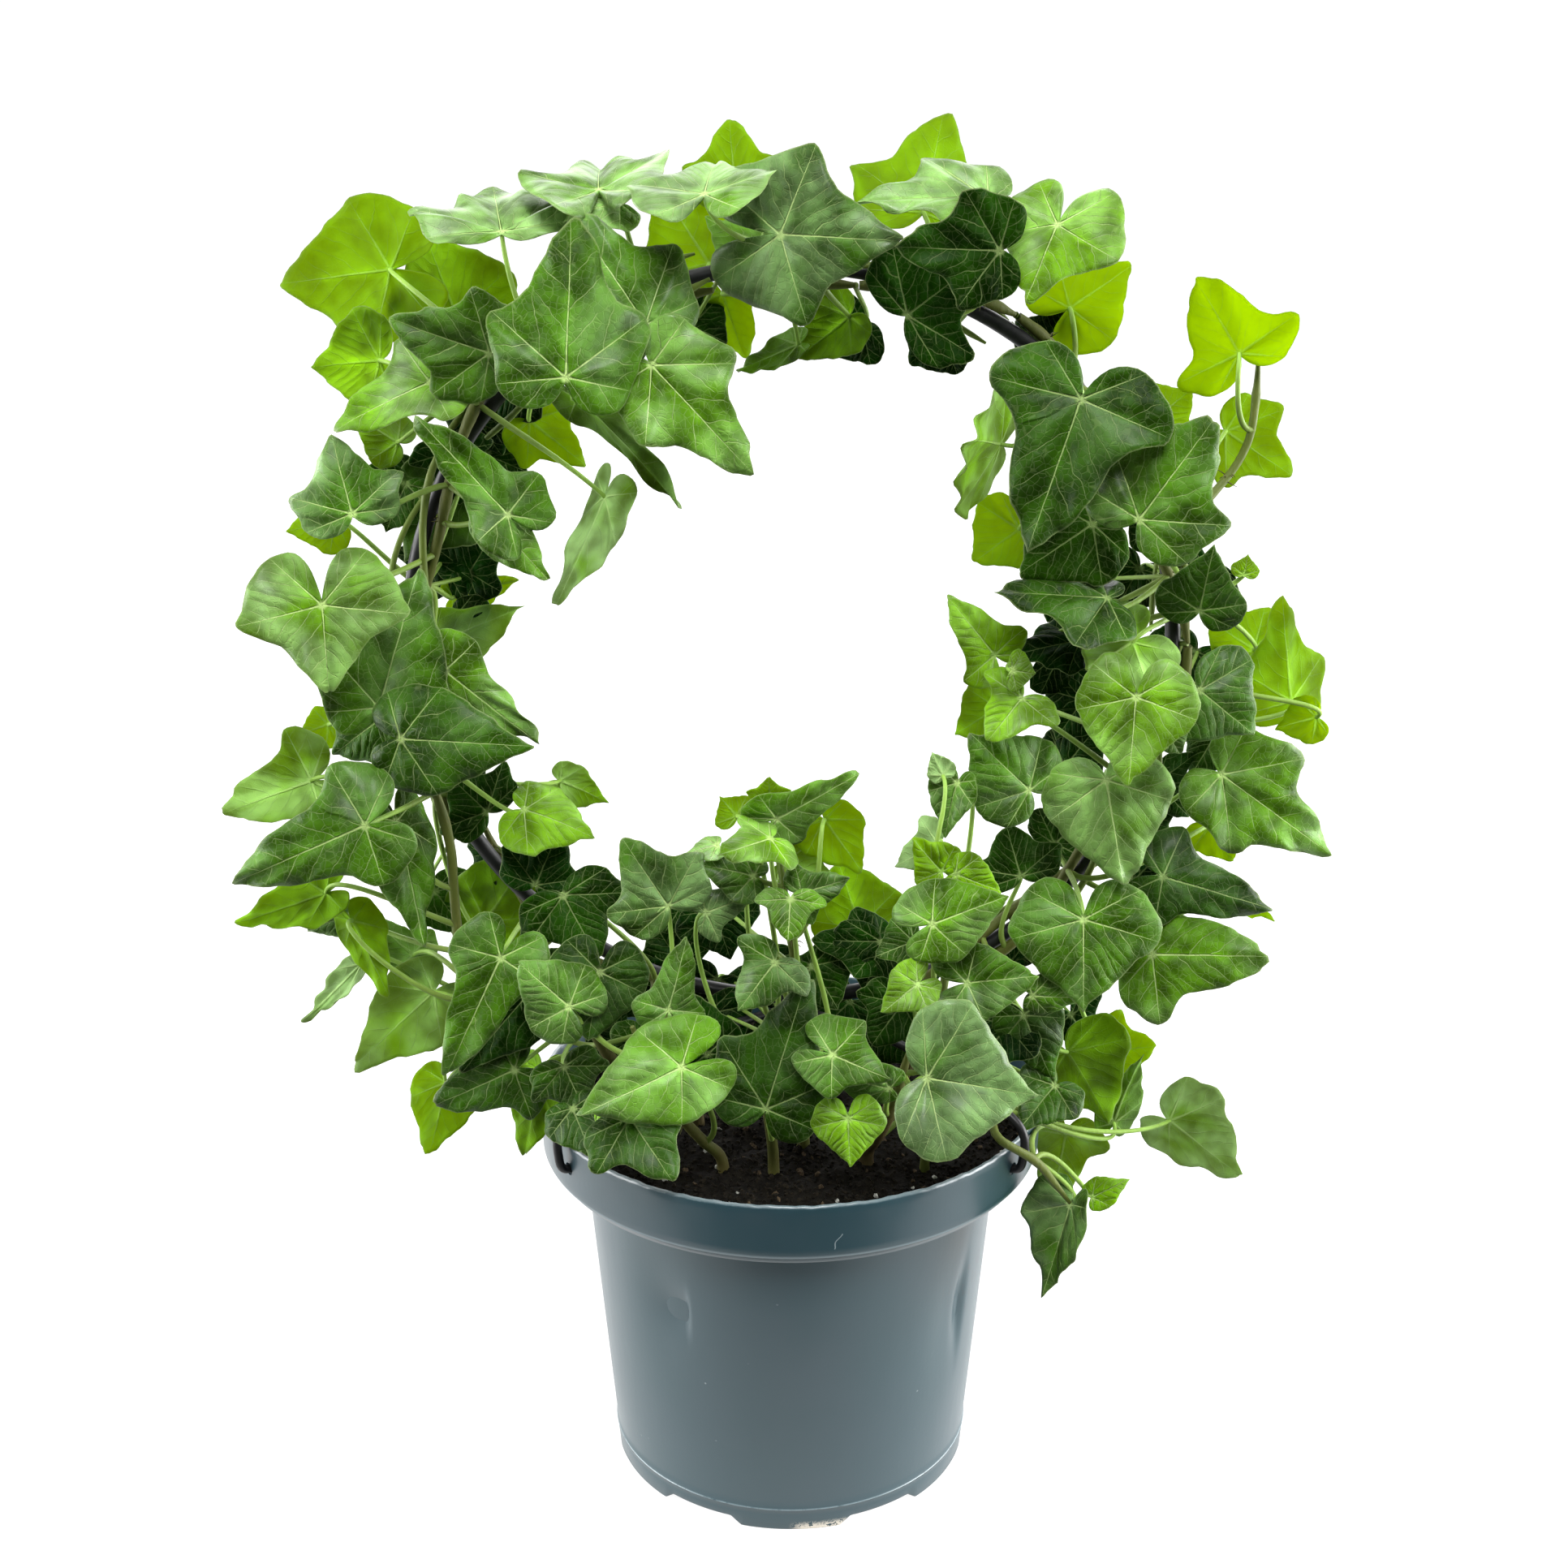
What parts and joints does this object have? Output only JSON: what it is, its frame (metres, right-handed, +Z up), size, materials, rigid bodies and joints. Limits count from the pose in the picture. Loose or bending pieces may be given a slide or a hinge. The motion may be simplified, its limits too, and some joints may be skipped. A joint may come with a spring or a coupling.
{
  "type": "potted ivy topiary",
  "caption": "Ivy vines with lobed leaves trained round an upright ring hoop that clips onto a tapered round nursery pot filled with potting mix.",
  "frame": {"origin": "on the pot's upright axis, at the level that its feet stand on", "axes": "+Z up along the pot's axis, +X to the right in the hoop's plane, the front of the plant looks along -Y"},
  "size_m": [0.3134, 0.1617, 0.4037],
  "materials": {
    "slate_plastic": "satin",
    "black_rod": "satin",
    "potting_mix": "matte",
    "vine_left_low_leaf": "satin",
    "vine_left_middle_leaf": "satin",
    "vine_left_high_leaf": "satin",
    "vine_upper_left_leaf": "satin",
    "vine_top_left_leaf": "satin",
    "vine_top_middle_leaf": "satin",
    "vine_top_right_leaf": "satin",
    "vine_upper_right_leaf": "satin",
    "vine_right_middle_leaf": "satin",
    "vine_right_low_leaf": "satin",
    "vine_right_bottom_leaf": "satin",
    "vine_left_rooted_leaf": "satin",
    "vine_right_rooted_leaf": "satin",
    "shoot_upper_right_leaf": "satin",
    "shoot_front_left_leaf": "satin",
    "shoot_front_centre_leaf": "satin",
    "shoot_front_right_leaf": "satin",
    "young_shoot_centre_leaf": "satin",
    "young_shoot_right_leaf": "satin",
    "shoot_trailing_right_leaf": "satin"
  },
  "bodies": {
    "root": {"pot": "slate_plastic", "ring_hoop": "black_rod", "potting_soil": "potting_mix", "vine_left_low": "vine_left_low_leaf", "vine_left_middle": "vine_left_middle_leaf", "vine_left_high": "vine_left_high_leaf", "vine_upper_left": "vine_upper_left_leaf", "vine_top_left": "vine_top_left_leaf", "vine_top_middle": "vine_top_middle_leaf", "vine_top_right": "vine_top_right_leaf", "vine_upper_right": "vine_upper_right_leaf", "vine_right_middle": "vine_right_middle_leaf", "vine_right_low": "vine_right_low_leaf", "vine_right_bottom": "vine_right_bottom_leaf", "vine_left_rooted": "vine_left_rooted_leaf", "vine_right_rooted": "vine_right_rooted_leaf", "shoot_upper_right": "shoot_upper_right_leaf", "shoot_front_left": "shoot_front_left_leaf", "shoot_front_centre": "shoot_front_centre_leaf", "shoot_front_right": "shoot_front_right_leaf", "young_shoot_centre": "young_shoot_centre_leaf", "young_shoot_right": "young_shoot_right_leaf", "shoot_trailing_right": "shoot_trailing_right_leaf"}
  },
  "joints": []
}
